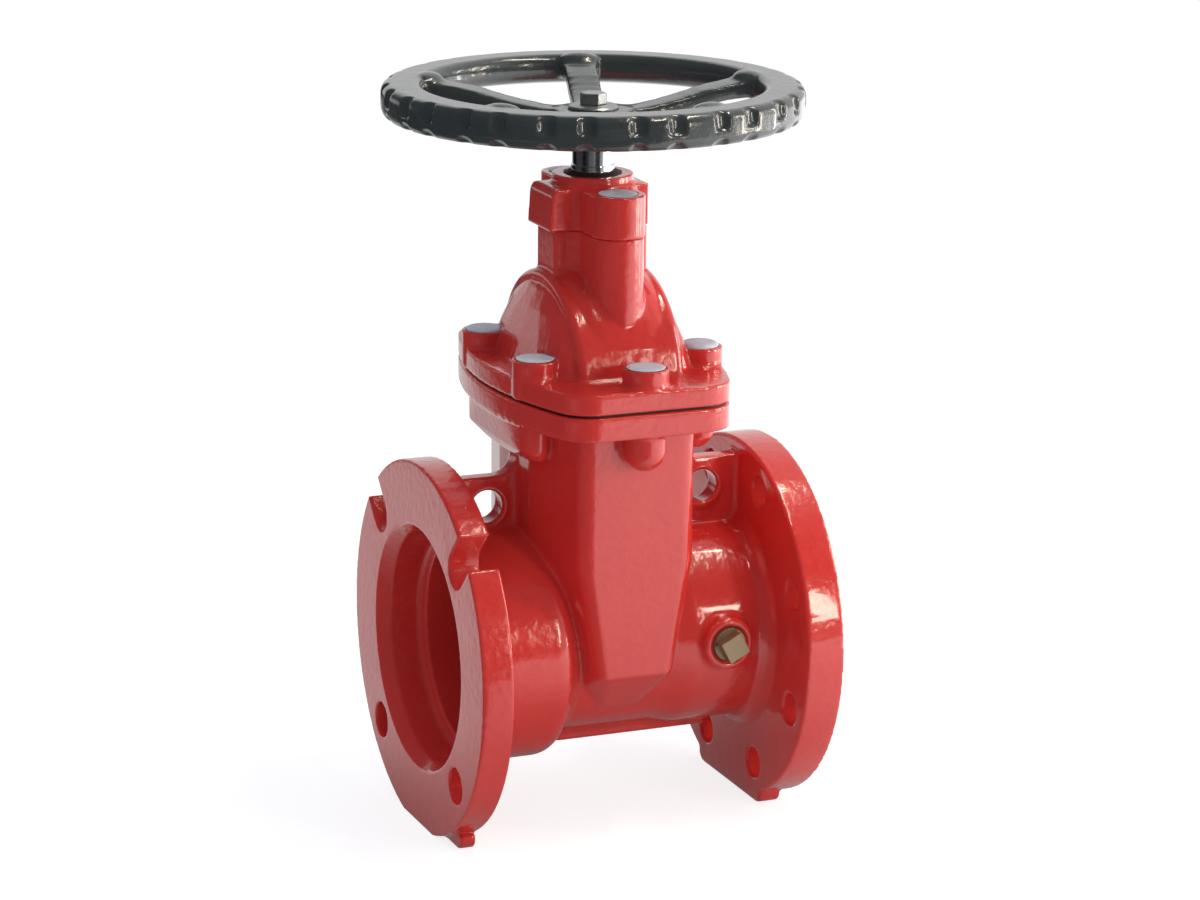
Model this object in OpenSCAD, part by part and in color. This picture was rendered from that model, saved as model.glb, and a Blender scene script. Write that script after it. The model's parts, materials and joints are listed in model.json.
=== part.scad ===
// Resilient-seated gate valve for a fire-hydrant line: mechanical-joint bell by flange,
// non-rising stem, handwheel. Millimetres. X runs along the pipe with the bell towards -X,
// Z runs up the stem. The origin is on the floor, under the crossing of pipe and stem.
// Heights in the modules count from the pipe axis.

/* [Pipe line] */
// Stem axis to the face of the bell flange
bell_reach = 113; // [110:1:150]
// Stem axis to the outer face of the plain flange
flange_reach = 121; // [105:1:150]
// Radius of the straight waterway
waterway_r = 52; // [43:0.5:58]
// Bolt circle of both flanges
bolt_circle = 190.5; // [186:0.5:230]

/* [Bell] */
// Rim of the bell flange outside its bolt circle
bell_edge = 20.55; // [17:0.05:28]
// Thickness of the bell flange
bell_t = 19.6; // [16:0.2:30]
// Inner radius of the socket that takes the pipe
socket_r = 62.2; // [57:0.1:66]
// Depth of the socket from the flange face
socket_depth = 62.5; // [50:0.5:77]
// Depth of the tapered mouth
mouth_depth = 7.5; // [5:0.5:14]
// Depth of the gasket's seat from the flange face
seat_depth = 26.5; // [18:0.5:34]
// Wall of the bell barrel
bell_wall = 11.3; // [9:0.1:14]
// Width of the bell's bolt holes and slots
bell_hole_d = 22.2; // [16:0.2:25]

/* [Plain flange] */
// Rim of the plain flange outside its bolt circle
flange_edge = 19.05; // [15:0.05:26]
// Thickness of the plain flange
flange_t = 23.8; // [16:0.2:30]
// Diameter of its bolt holes
flange_hole_d = 19.05; // [14:0.05:23]
// Number of its bolt holes
flange_holes = 8; // [4:4:12]
// Wall of the barrel next to the plain flange
barrel_wall = 11; // [8:0.5:14]

/* [Gate chamber] */
// Half width of the end panel at the top
panel_top = 38.5; // [34:0.5:44]
// Half width of the end panel at the bottom
panel_low = 25.5; // [22:0.5:31]
// Depth of the gate's guide slots beside the waterway
guide_depth = 15; // [12:0.5:18]
// Wall of the end panel
panel_wall = 11; // [9:0.5:14]
// Half width of the chamber between the ribs
chamber_x = 50; // [45:0.5:60]
// Height of the top flange's face above the pipe axis
joint_z = 161; // [151:1:193]
// Thickness of the body's top flange
body_top_t = 14.5; // [10:0.5:20]
// Thickness of the gusset ribs
rib_t = 12; // [8:0.5:18]
// Diameter of the lifting hole in each rib
rib_hole_d = 21; // [12:0.5:24]

/* [Bonnet joint] */
// Radius of the bowed sides of the joint
joint_side_r = 253; // [200:1:400]
// Corner radius of the joint
joint_corner_r = 23; // [14:0.5:28]
// Thickness of the gasket
gasket_t = 1.5; // [1:0.1:3]
// Thickness of the bonnet's flange
bonnet_t = 12.5; // [10:0.5:18]
// Height of the bolt bosses above the bonnet's flange
boss_h = 11.3; // [8:0.5:16]
// Radius of the sealing plugs over the bolts
plug_r = 11.75; // [10.5:0.25:14.25]
// Thread radius of the joint's bolts
bolt_r = 6; // [4:0.5:7.2]

/* [Bonnet] */
// Half width of the vault between its bosses
vault_x = 54; // [46:0.5:58]
// How far the vault's flanks lean in over each millimetre of height
vault_lean = 0.26; // [0.1:0.01:0.4]
// Wall of the vault
vault_wall = 8; // [6:0.5:11]
// Height of the bonnet from the joint to the seal plate
neck_h = 94; // [90:0.5:114]
// Height of the seal plate
plate_h = 25.5; // [21:0.5:32]
// Height of the ring round the stem
ring_h = 6; // [4:0.5:10]
// Distance of the seal plate's bolts from the stem
gland_y = 40; // [38:0.5:48]
// Wall round the seal plate's bolts
lobe_wall = 4.75; // [3:0.25:7]

/* [Stem and wheel] */
// Radius of the stem
stem_r = 13.3; // [11:0.1:16]
// Outer radius of the handwheel
wheel_r = 127.6; // [106:0.2:154]
// Radial width of the handwheel's rim
rim_w = 26; // [20:0.5:31]
// Height of the handwheel's rim
rim_h = 20.5; // [14:0.5:26]
// Gap between the seal plate's ring and the underside of the rim
rim_gap = 34.4; // [30:0.2:50]
// Number of spokes
spokes = 5; // [3:1:6]
// Width of a spoke
spoke_w = 20; // [14:0.5:24]
// Thickness of a spoke
spoke_t = 10; // [7:0.5:14]
// Pairs of grip notches between two spokes
notch_pairs = 3; // [2:1:4]

/* [Hidden] */
$fn = 96;

red = [0.72, 0.12, 0.11];
running = 0.1;          // radial clearance of a turning fit
seat_gap = 0.3;         // clearance of a piece that rests in a pocket
over = 1;               // how far a cut runs past the metal it opens

// pipe line
bell_d = bolt_circle + 2 * bell_edge;
flange_d = bolt_circle + 2 * flange_edge;
foot_flat = 3.3;        // how much the floor cuts off the bell's rim
axis_h = bell_d / 2 - foot_flat;
bell_back = bell_reach - bell_t;
flange_back = flange_reach - flange_t;
socket_end = bell_reach - socket_depth;
mouth_r = socket_r + 14.3;
seat_r = socket_r + 6.8;
bell_r = socket_r + bell_wall;
barrel_r = waterway_r + barrel_wall;
mid_r = waterway_r + 8; // barrel through the chamber
keel_z = -mid_r - 6;    // flat rail along the bottom
foot_h = 14;            // height of the foot pads

// gate chamber
cavity_y = waterway_r + guide_depth;
panel_y = cavity_y + panel_wall;
cavity_x = panel_top - 10.5;
cavity_low = panel_low - 10;
cavity_z = -5;          // bottom of the gate's guide slots
taper_z = 62;           // the end panel narrows below this height
panel_z = -8;           // bottom of the end panel
chin_z = -34;
rib_top = joint_z - 56;
pad_drop = 25.5;        // the bolt pads reach this far below the joint

// bonnet joint
boss_r = plug_r + 2.25;
joint_x = chamber_x + 19.7;
joint_y = panel_y + 22.3;
side_bolt_x = joint_x - 16.4;
side_bolt_y = 42.7;
end_bolt_y = joint_y - boss_r - 0.3;
joint_bolts = [[-side_bolt_x, -side_bolt_y], [-side_bolt_x, side_bolt_y], [0, end_bolt_y],
    [side_bolt_x, side_bolt_y], [side_bolt_x, -side_bolt_y], [0, -end_bolt_y]];
bonnet_z = joint_z + gasket_t;
boss_z = bonnet_z + bonnet_t + boss_h;
side_pad_r = bolt_r + 3.4;
end_pad_r = bolt_r + 6.6;
plug_h = 6;             // depth of a sealing plug
head_r = plug_r - 1.75; // cap screw head
head_h = 10;
bolt_depth = 18;        // thread in the body
counter_z = boss_z - plug_h - head_h;

// bonnet and seal plate
vault_r = waterway_r + 13.2; // crown radius, clears the open gate
vault_z = bonnet_z + 8.4;    // centre of the crown
plate_z = bonnet_z + neck_h;
plate_top = plate_z + plate_h;
ring_top = plate_top + ring_h;
ring_r = stem_r + 11.3;
gland_r = stem_r + 13.7;
plate_x = ring_r + 5.9; // flat towards the plain flange
key_x = ring_r + 9.3;   // key face towards the bell
key_y = 18.5;
lobe_r = plug_r + lobe_wall;
gland_counter = plate_top - plug_h - head_h;

// stem, nut and gate
thread_r = stem_r - 1.3;
upper_r = stem_r - 0.8; // stem above its groove
wiper_r = stem_r + 4.1;
collar_r = stem_r + 6.7;
collar_h = 8;
collar_z = plate_z - collar_h - 1;
gate_r = waterway_r - seat_gap;
gate_top = gate_r + 14.3;
nut_w = 2 * thread_r + 10;
nut_t = 2 * thread_r + 2;
nut_h = 20;
nut_z = gate_top - nut_h - 6;

// wheel
rim_z = ring_top + rim_gap;
hub_z = rim_z - 16.4;   // underside of the wheel's hub
hub_top = rim_z + 4.6;
hub_r = stem_r + 10.7;
drive_w = 1.4 * stem_r; // square that drives the wheel
drive_h = hub_top - hub_z - 4;
spoke_foot = 34;        // the spokes rise between these two radii
spoke_rise = 12;

// drain
drain_x = 65;
drain_z = 3;
drain_y = barrel_r + 5; // face of the drain boss
drain_r = 10;

module lift() {
    translate([0, 0, axis_h]) children();
}

// a profile of [radius, x] turned about the pipe axis
module lathe_x(points) {
    rotate([0, 90, 0]) rotate_extrude() polygon(points);
}

module disc_x(r, x0, x1) {
    translate([x0, 0, 0]) rotate([0, 90, 0]) cylinder(r = r, h = x1 - x0);
}

module post(r, z0, z1) {
    translate([0, 0, z0]) cylinder(r = r, h = z1 - z0);
}

// plan of the bonnet joint: bowed sides, flat ends and round corners
function arc(cx, cy, r, a0, a1, n) =
    [for (i = [0:n]) let (a = a0 + (a1 - a0) * i / n) [cx + r * cos(a), cy + r * sin(a)]];
function quarter(inset) =
    let (
        side = joint_side_r - inset,
        corner = joint_corner_r - inset,
        cx = joint_x - joint_side_r,
        corner_y = joint_y - joint_corner_r,
        corner_x = cx + sqrt(pow(joint_side_r - joint_corner_r, 2) - pow(corner_y, 2)),
        turn = atan2(corner_y, corner_x - cx)
    )
    concat(arc(cx, 0, side, 0, turn, 10), arc(corner_x, corner_y, corner, turn + 12, 90, 7));
function joint_plan(inset) =
    let (q = quarter(inset), n = len(q) - 1)
    concat(q, [for (i = [n:-1:1]) [-q[i].x, q[i].y]], [for (i = [0:n]) -q[i]],
        [for (i = [n:-1:1]) [q[i].x, -q[i].y]]);

// one level of the gate chamber: an end panel at each side and broader flanks
module chamber_level(z, h, panel, flank, py, fy, r) {
    translate([0, 0, z]) linear_extrude(h) for (sx = [-1, 1], sy = [-1, 1]) {
        translate([sx * (panel - r), sy * (py - r)]) circle(r = r, $fn = 32);
        translate([sx * (flank - r), sy * (fy - r)]) circle(r = r, $fn = 32);
    }
}

module chamber_taper() {
    chamber_level(taper_z, 1, panel_top, chamber_x, panel_y, 34, 10);
}

module chamber_foot() {
    chamber_level(panel_z, 1, panel_low, chamber_x - 14, panel_y + 0.5, 30, 8);
}

module chamber_outside() {
    hull() {
        chamber_level(joint_z - body_top_t, 2, panel_top, chamber_x, panel_y, 34, 10);
        chamber_taper();
    }
    hull() {
        chamber_taper();
        chamber_foot();
    }
    hull() {
        chamber_foot();
        chamber_level(chin_z, 1, 14, chamber_x - 20, panel_y - 26, 30, 6);
    }
}

module chamber_inside() {
    hull() {
        translate([-cavity_x, -cavity_y, joint_z]) cube([2 * cavity_x, 2 * cavity_y, over]);
        translate([-cavity_low, -cavity_y, cavity_z]) cube([2 * cavity_low, 2 * cavity_y, 1]);
    }
}

module barrels() {
    // bell barrel with a rounded shoulder
    shoulder = 14;
    shoulder_x = socket_end - 2.5;
    lathe_x(concat([[0, -bell_back - 1], [bell_r + 4, -bell_back - 1], [bell_r, -bell_back + 5]],
        arc(bell_r - shoulder, -shoulder_x, shoulder, 0, 60, 6), [[mid_r, -30], [0, -30]]));
    disc_x(mid_r, -40, 40);
    // barrel next to the plain flange, with its fillet
    lathe_x([[0, 30], [mid_r, 30], [barrel_r, 46], [barrel_r, flange_back - 9],
        [barrel_r + 2, flange_back - 4], [barrel_r + 8, flange_back + 1], [0, flange_back + 1]]);
    translate([-27, -15, keel_z]) cube([flange_back + 3, 30, 20]);
}

// a bar with rounded ends under a flange, at the level of the floor
module foot(x, t, half) {
    r = 7;
    translate([x, 0, 0]) rotate([90, 0, 90]) linear_extrude(t)
        polygon(concat(arc(half - r, r - axis_h, r, 20, -90, 6),
            arc(r - half, r - axis_h, r, -90, -200, 6), [[0, foot_h + 12 - axis_h]]));
}

module flanges() {
    difference() {
        union() {
            disc_x(bell_d / 2, -bell_reach, -bell_back);
            disc_x(flange_d / 2, flange_back, flange_reach);
        }
        // both rims are flat where they meet the floor
        translate([-200, -60, -axis_h - 20]) cube([400, 120, 20]);
    }
    foot(6.5 - bell_reach, bell_t - 10, 60);
    foot(flange_back, 14, 48);
}

// tapered mouth, then the seat that the pipe gasket is pressed into
module gasket_seat() {
    ledge = 1.5;
    lathe_x([[0, -bell_reach - over], [mouth_r, -bell_reach - over], [mouth_r, -bell_reach],
        [seat_r + 2, -bell_reach + mouth_depth], [seat_r, -bell_reach + seat_depth],
        [socket_r, -bell_reach + seat_depth + ledge], [0, -bell_reach + seat_depth + ledge]]);
}

module bell_bolt_holes() {
    for (a = [45, 135, 225, 315]) {
        rotate([a, 0, 0]) translate([0, 0, bolt_circle / 2]) {
            disc_x(bell_hole_d / 2, -bell_reach - over, -bell_back + over);
            // the two upper holes are open slots
            if (a == 45 || a == 315) {
                translate([-bell_reach - over, -bell_hole_d / 2, 0])
                    cube([bell_t + 2 * over, bell_hole_d, 40]);
            }
        }
    }
}

module flange_bolt_holes() {
    for (i = [0:flange_holes - 1]) {
        rotate([(i + 0.5) * 360 / flange_holes, 0, 0])
            translate([0, 0, bolt_circle / 2])
                disc_x(flange_hole_d / 2, flange_back - over, flange_reach + over);
    }
}

module rib(side) {
    // side is -1 towards the bell and 1 towards the plain flange
    reach = side < 0 ? bell_back + 1 : flange_back + 1;
    hole_x = (reach + chamber_x) / 2 - 2;
    difference() {
        mirror([side < 0 ? 1 : 0, 0, 0])
            translate([0, rib_t / 2, 0]) rotate([90, 0, 0]) linear_extrude(rib_t)
                polygon(concat([[40, 50], [reach, 50], [reach, rib_top]],
                    arc(chamber_x + 14, rib_top + 14, 14, 270, 190, 6), [[40, rib_top + 24]]));
        translate([side * hole_x, rib_t / 2 + over, rib_top - 18]) rotate([90, 0, 0])
            cylinder(d = rib_hole_d, h = rib_t + 2 * over);
    }
}

// the pads that carry the two end bolts under the body's top flange
module end_pads() {
    for (s = [-1, 1]) translate([0, s * end_bolt_y, 0]) {
        post(end_pad_r, joint_z - pad_drop, joint_z - body_top_t + 1);
        translate([0, 0, joint_z - pad_drop]) sphere(r = end_pad_r);
    }
}

// one level of the belt: a side that bows as the joint does, between two round pads
module belt_level(z, inset, r) {
    bow = joint_side_r - inset;
    turn = asin(side_bolt_y / bow);
    translate([0, 0, z]) linear_extrude(1) {
        polygon(concat([[cavity_x + 12, 0]], arc(joint_x - joint_side_r, 0, bow, -turn, turn, 10)));
        for (y = [-1, 1]) translate([side_bolt_x - (9.4 - r) / 2, y * side_bolt_y])
            circle(r = r, $fn = 32);
    }
}

// the belts that carry the four side bolts, flaring up to the top flange
module belts() {
    for (s = [0, 1]) mirror([s, 0, 0]) hull() {
        belt_level(joint_z - body_top_t + 2, 2.5, side_pad_r);
        belt_level(joint_z - pad_drop - 6, 6.5, side_pad_r);
        belt_level(joint_z - pad_drop - 12, 9.5, side_pad_r - 4);
    }
}

module body() {
    color(red) lift() difference() {
        union() {
            flanges();
            barrels();
            chamber_outside();
            rib(-1);
            rib(1);
            end_pads();
            belts();
            translate([0, 0, joint_z - body_top_t]) linear_extrude(body_top_t)
                polygon(joint_plan(0));
            translate([drain_x, -drain_y, drain_z]) rotate([-90, 0, 0]) cylinder(r = drain_r + 6.5, h = 30);
        }
        disc_x(waterway_r, -bell_back, flange_reach + over);
        disc_x(socket_r, -bell_reach - over, -socket_end);
        gasket_seat();
        chamber_inside();
        bell_bolt_holes();
        flange_bolt_holes();
        for (p = joint_bolts) translate([p.x, p.y, 0])
            post(bolt_r + 0.05, joint_z - bolt_depth - 2, joint_z + over);
        translate([drain_x, -drain_y - over, drain_z]) rotate([-90, 0, 0])
            cylinder(r = drain_r + 0.05, h = 30);
    }
}

module bonnet_gasket() {
    color([0.08, 0.08, 0.08]) lift() translate([0, 0, joint_z]) difference() {
        linear_extrude(gasket_t) polygon(joint_plan(2.5));
        translate([-cavity_x, -cavity_y, -over])
            cube([2 * cavity_x, 2 * cavity_y, gasket_t + 2 * over]);
        for (p = joint_bolts) translate([p.x, p.y, -over])
            cylinder(r = bolt_r + 0.6, h = gasket_t + 2 * over);
    }
}

// plan of the vault at height z: a squarish oval whose flanks lean in as the crown rounds over
function vault_plan(z, inset) =
    let (
        r = vault_r - inset,
        half = vault_x - inset - vault_lean * (z - bonnet_z),
        rise = z - vault_z,
        reach = pow(1 - pow(rise / r, 4), 1 / 4)
    )
    [for (a = [0:10:350]) let (k = reach * cos(a))
        [half * k, sign(sin(a)) * sqrt(max(0, r * r * sqrt(1 - pow(k, 4)) - rise * rise))]];

// the vault over the open gate, from a level below its widest one up to the crown
module vault(inset, low) {
    hull() for (rise = concat([low - vault_z], [for (a = [0, 18, 34, 48, 60, 70, 79, 86])
        (vault_r - inset) * sin(a)]))
            translate([0, 0, vault_z + rise]) linear_extrude(0.1)
                polygon(vault_plan(vault_z + rise, inset));
}

module gland_plan(inset) {
    translate([inset - plate_x, -15]) square([2 * (plate_x - inset), 30]);
    circle(r = gland_r - inset);
    square([2 * (lobe_r - inset), 2 * gland_y], center = true);
    for (s = [-1, 1]) translate([0, s * gland_y]) circle(r = lobe_r - inset);
}

module bonnet() {
    color(red) lift() difference() {
        union() {
            translate([0, 0, bonnet_z]) linear_extrude(bonnet_t) polygon(joint_plan(0));
            vault(0, bonnet_z);
            translate([0, 0, vault_z + 10]) linear_extrude(plate_z - vault_z - 10) gland_plan(0.5);
            for (p = joint_bolts) translate([p.x, p.y, 0]) post(boss_r, bonnet_z, boss_z);
        }
        intersection() {
            vault(vault_wall, bonnet_z - over);
            translate([-cavity_x, -cavity_y, bonnet_z - over])
                cube([2 * cavity_x, 2 * cavity_y, 120]);
        }
        post(stem_r + running, vault_z, plate_z + over);
        post(collar_r + 1, collar_z - 1, plate_z + over);
        for (p = joint_bolts) translate([p.x, p.y, 0]) {
            post(bolt_r + 0.6, bonnet_z - over, boss_z + over);
            post(plug_r, counter_z, boss_z + over);
        }
        for (s = [-1, 1]) translate([0, s * gland_y, 0])
            post(bolt_r + 0.05, plate_z - bolt_depth - 2, plate_z + over);
    }
}

// a socket-head cap screw seated at z, reaching down to tip
module cap_screw(z, tip) {
    difference() {
        union() {
            post(head_r, z, z + head_h);
            post(bolt_r, tip, z + 0.5);
        }
        translate([0, 0, z + head_h / 2]) cylinder(r = bolt_r - 0.2, h = head_h, $fn = 6);
    }
}

// a filled counterbore: a shallow dome of sealing compound
module sealing_plug(top) {
    post(plug_r - 0.05, top - plug_h + 0.02, top);
    intersection() {
        translate([0, 0, top + 0.9 - 80]) sphere(r = 80);
        post(plug_r - 0.05, top - 1, top + 2);
    }
}

module bonnet_bolt(p) {
    color("silver") lift() translate([p.x, p.y, 0]) cap_screw(counter_z, joint_z - bolt_depth);
}

module bonnet_plug(p) {
    color([0.62, 0.64, 0.66]) lift() translate([p.x, p.y, 0]) sealing_plug(boss_z);
}

module gland_bolt(s) {
    color("silver") lift() translate([0, s * gland_y, 0])
        cap_screw(gland_counter, plate_z - bolt_depth);
}

module gland_plug(s) {
    color([0.62, 0.64, 0.66]) lift() translate([0, s * gland_y, 0]) sealing_plug(plate_top);
}

module seal_plate() {
    color(red) lift() difference() {
        union() {
            translate([0, 0, plate_z]) linear_extrude(plate_h) gland_plan(0);
            // the key face towards the bell, with its draft
            translate([0, key_y, plate_z]) rotate([90, 0, 0]) linear_extrude(2 * key_y)
                polygon([[0, 0], [-key_x - 1, 0], [-key_x + 0.5, plate_h - 4],
                    [-key_x + 3, plate_h - 0.5], [0, plate_h - 0.5]]);
            translate([0, 0, plate_top]) cylinder(r1 = ring_r + 2, r2 = ring_r, h = 2);
            post(ring_r, plate_top, ring_top);
        }
        post(stem_r + running, plate_z - over, ring_top + over);
        post(wiper_r + 0.1, ring_top - 4, ring_top + over);
        for (s = [-1, 1]) translate([0, s * gland_y, 0]) {
            post(bolt_r + 0.6, plate_z - over, plate_top + over);
            post(plug_r, gland_counter, plate_top + over);
        }
    }
}

module stem_wiper() {
    color([0.1, 0.1, 0.1]) lift() difference() {
        union() {
            post(wiper_r, ring_top - 4, ring_top);
            translate([0, 0, ring_top]) cylinder(r1 = stem_r + 3.2, r2 = stem_r + 1.3, h = 1.6);
        }
        post(stem_r + running, ring_top - 5, ring_top + 3);
    }
}

module thrust_ring() {
    color([0.75, 0.62, 0.3]) lift() difference() {
        post(collar_r, collar_z - 1, collar_z - running);
        post(stem_r + running, collar_z - 2, collar_z + over);
    }
}

module stem() {
    color([0.8, 0.81, 0.83]) lift() union() {
        difference() {
            union() {
                post(stem_r, nut_z + nut_h + 22, ring_top + 5.8);
                post(upper_r, ring_top + 5, hub_z);
            }
            // the groove that shows above the seal plate
            difference() {
                post(stem_r + over, ring_top + 5, ring_top + 5.8);
                post(upper_r - 0.5, ring_top + 4, ring_top + 7);
            }
        }
        post(thread_r, nut_z - 12, nut_z + nut_h + 23);
        post(collar_r, collar_z, collar_z + collar_h);
        translate([-drive_w / 2, -drive_w / 2, hub_z - 1]) cube([drive_w, drive_w, drive_h + 1]);
    }
}

// half width of the gate's guide slots at height z
function slot_x(z) = cavity_low + (cavity_x - cavity_low) * (z - cavity_z) / (joint_z - cavity_z);

// side view of the gate, a wedge that narrows downwards, with a gap to the slots
module wedge_view(gap) {
    foot = -gate_r - 5;
    translate([0, 80, 0]) rotate([90, 0, 0]) linear_extrude(160)
        polygon([[-slot_x(foot) + gap, foot], [slot_x(foot) - gap, foot],
            [slot_x(gate_top) - gap, gate_top], [gap - slot_x(gate_top), gate_top]]);
}

module gate() {
    color([0.12, 0.12, 0.12]) lift() difference() {
        intersection() {
            wedge_view(0.5);
            union() {
                disc_x(gate_r, -cavity_x, cavity_x);
                translate([-cavity_x, -gate_r, 0]) cube([2 * cavity_x, 2 * gate_r, gate_top]);
                // guide lugs that run in the chamber's slots
                intersection() {
                    translate([-cavity_x, -cavity_y + 1.5, cavity_z + 1.5])
                        cube([2 * cavity_x, 2 * cavity_y - 3, gate_top - cavity_z - 12]);
                    wedge_view(1);
                }
            }
        }
        post(thread_r + 2, nut_z - 50, gate_top + over);
        translate([-cavity_x, -nut_w / 2 - seat_gap, nut_z])
            cube([2 * cavity_x, nut_w + 2 * seat_gap, nut_h + seat_gap]);
    }
}

module stem_nut() {
    color([0.78, 0.6, 0.25]) lift() difference() {
        translate([-nut_t / 2, -nut_w / 2, nut_z]) cube([nut_t, nut_w, nut_h]);
        post(thread_r + running, nut_z - over, nut_z + nut_h + over);
    }
}

module drain_plug() {
    color([0.6, 0.56, 0.42]) lift() translate([drain_x, -drain_y, drain_z]) rotate([90, 0, 0]) {
        translate([0, 0, -14]) cylinder(r = drain_r, h = 14);
        cylinder(r1 = drain_r + 0.8, r2 = drain_r + 0.2, h = 2.5);
        rotate([0, 0, 28]) translate([-7.1, -7.1, 2]) cube([14.2, 14.2, 9]);
    }
}

// section of the rim with rounded edges, fullest where the fingers close under it
function rim_section() = let (ri = wheel_r - rim_w, r = 6, grip = 9, t = rim_z + rim_h)
    concat(arc(wheel_r - r, rim_z + r, r, -90, 0, 5), arc(wheel_r - r, t - r, r, 0, 90, 5),
        arc(ri + r, t - r, r, 90, 180, 5), arc(ri + grip, rim_z + 2.5 + grip, grip, 180, 265, 6));

// top of a spoke at radius r: level by the rim, an S down to the hub
function spoke_top(r) = let (k = max(0, min(1, (r - spoke_foot) / spoke_foot)))
    hub_top - 0.5 + spoke_rise * k * k * (3 - 2 * k);
spoke_steps = [for (i = [0:12]) 12 + i * (wheel_r - rim_w + 8 - 12) / 12];

// a spoke: its side view cut to its plan, which flares into the rim
module spoke() {
    end = wheel_r - rim_w + 8;
    flare = spoke_w / 2 + 4;
    intersection() {
        translate([0, flare, 0]) rotate([90, 0, 0]) linear_extrude(2 * flare)
            polygon(concat([for (r = spoke_steps) [r, spoke_top(r)]],
                [for (i = [12:-1:0]) [spoke_steps[i], spoke_top(spoke_steps[i]) - spoke_t]]));
        translate([0, 0, hub_z]) linear_extrude(rim_h + 30) for (s = [-1, 1])
            polygon([[0, 0], [0, s * spoke_w / 2], [end - 22, s * spoke_w / 2],
                [end - 12, s * (flare - 2.6)], [end, s * flare], [end, 0]]);
    }
}

module grip_notches() {
    step = 360 / (spokes * notch_pairs);
    for (i = [0:spokes * notch_pairs - 1], k = [-1, 1]) {
        rotate([0, 0, i * step + k * step * 0.22]) for (z = [rim_z - 3, rim_z + rim_h + 3])
            translate([wheel_r + 3, 0, z]) sphere(r = 9, $fn = 32);
    }
}

module handwheel() {
    color([0.16, 0.18, 0.18]) lift() rotate([0, 0, 1]) difference() {
        union() {
            difference() {
                rotate_extrude() polygon(rim_section());
                grip_notches();
            }
            for (i = [0:spokes - 1]) rotate([0, 0, i * 360 / spokes]) spoke();
            post(hub_r, hub_z, hub_top);
        }
        rotate([0, 0, -1]) translate([-drive_w / 2 - 0.1, -drive_w / 2 - 0.1, hub_z - over])
            cube([drive_w + 0.2, drive_w + 0.2, drive_h + over + 2]);
        post(6, hub_z, hub_top + 3);
    }
}

module wheel_washer() {
    color("silver") lift() difference() {
        post(15.5, hub_top, hub_top + 2.5);
        post(6.2, hub_top - over, hub_top + 4);
    }
}

module wheel_bolt() {
    color("silver") lift() union() {
        translate([0, 0, hub_top + 2.5]) cylinder(r = 9.8, h = 7, $fn = 6);
        post(5.5, hub_z + drive_h + 0.2, hub_top + 3);
    }
}

body();
bonnet();
bonnet_gasket();
seal_plate();
stem_wiper();
thrust_ring();
gate();
stem_nut();
stem();
handwheel();
wheel_washer();
wheel_bolt();
drain_plug();
for (i = [1:6]) bonnet_bolt(joint_bolts[i - 1]);
for (i = [1:6]) bonnet_plug(joint_bolts[i - 1]);
for (i = [1:2]) gland_bolt(2 * i - 3);
for (i = [1:2]) gland_plug(2 * i - 3);
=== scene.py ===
# %% [markdown]
# # A four-inch gate valve with a handwheel
#
# The valve is a red iron casting: a bell end, a flanged end, a chamber between them, and a
# bonnet on top that carries the stem and the wheel. The plain solids come from the CAD
# model, which fixes every size and place. This lesson gives them the look of the real
# thing: soft cast corners, thick glossy epoxy, black enamel, a polished stem.

# %% Load the valve's solids
import json
import math

import bmesh
import bpy
import numpy as np
from mathutils import Matrix, Vector, noise


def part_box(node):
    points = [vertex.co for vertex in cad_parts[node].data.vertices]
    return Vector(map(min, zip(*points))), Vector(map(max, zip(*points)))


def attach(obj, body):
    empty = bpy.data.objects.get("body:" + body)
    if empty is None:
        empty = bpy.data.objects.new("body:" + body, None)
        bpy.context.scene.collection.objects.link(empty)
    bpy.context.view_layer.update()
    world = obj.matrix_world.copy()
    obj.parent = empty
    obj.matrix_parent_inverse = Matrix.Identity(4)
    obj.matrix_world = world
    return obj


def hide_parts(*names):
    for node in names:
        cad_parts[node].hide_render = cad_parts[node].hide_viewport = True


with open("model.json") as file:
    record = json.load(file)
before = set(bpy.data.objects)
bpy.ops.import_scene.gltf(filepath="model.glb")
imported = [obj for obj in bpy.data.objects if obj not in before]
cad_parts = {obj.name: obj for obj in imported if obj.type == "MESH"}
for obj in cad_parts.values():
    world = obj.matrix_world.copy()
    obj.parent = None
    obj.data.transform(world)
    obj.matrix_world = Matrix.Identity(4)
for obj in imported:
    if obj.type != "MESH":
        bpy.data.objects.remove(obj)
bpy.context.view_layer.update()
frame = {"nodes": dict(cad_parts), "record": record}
nodes = frame["nodes"]
MM = 0.001
mounts = {m["name"]: Vector(m["pos_m"]) for m in frame["record"]["mounts"]}
axis_z = mounts["pipe_socket"].z
print("pipe axis at", round(axis_z, 4), "m above the floor;", len(nodes), "solids")

# %% [markdown]
# ## The camera
#
# A long lens from the front left, a little above the valve, keeps the two round ends from
# looking stretched. Its place is written as a spot in the valve's own frame, and its
# direction as a turn, a tilt and a slight roll.

# %% Place the camera
CAMERA_SPOT = Vector((-0.88686, -2.17329, 0.84259))
CAMERA_TURN = math.radians(22.346)
CAMERA_TILT = math.radians(14.692)
CAMERA_ROLL = math.radians(0.549)
CAMERA_LENS = 118.55


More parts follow.
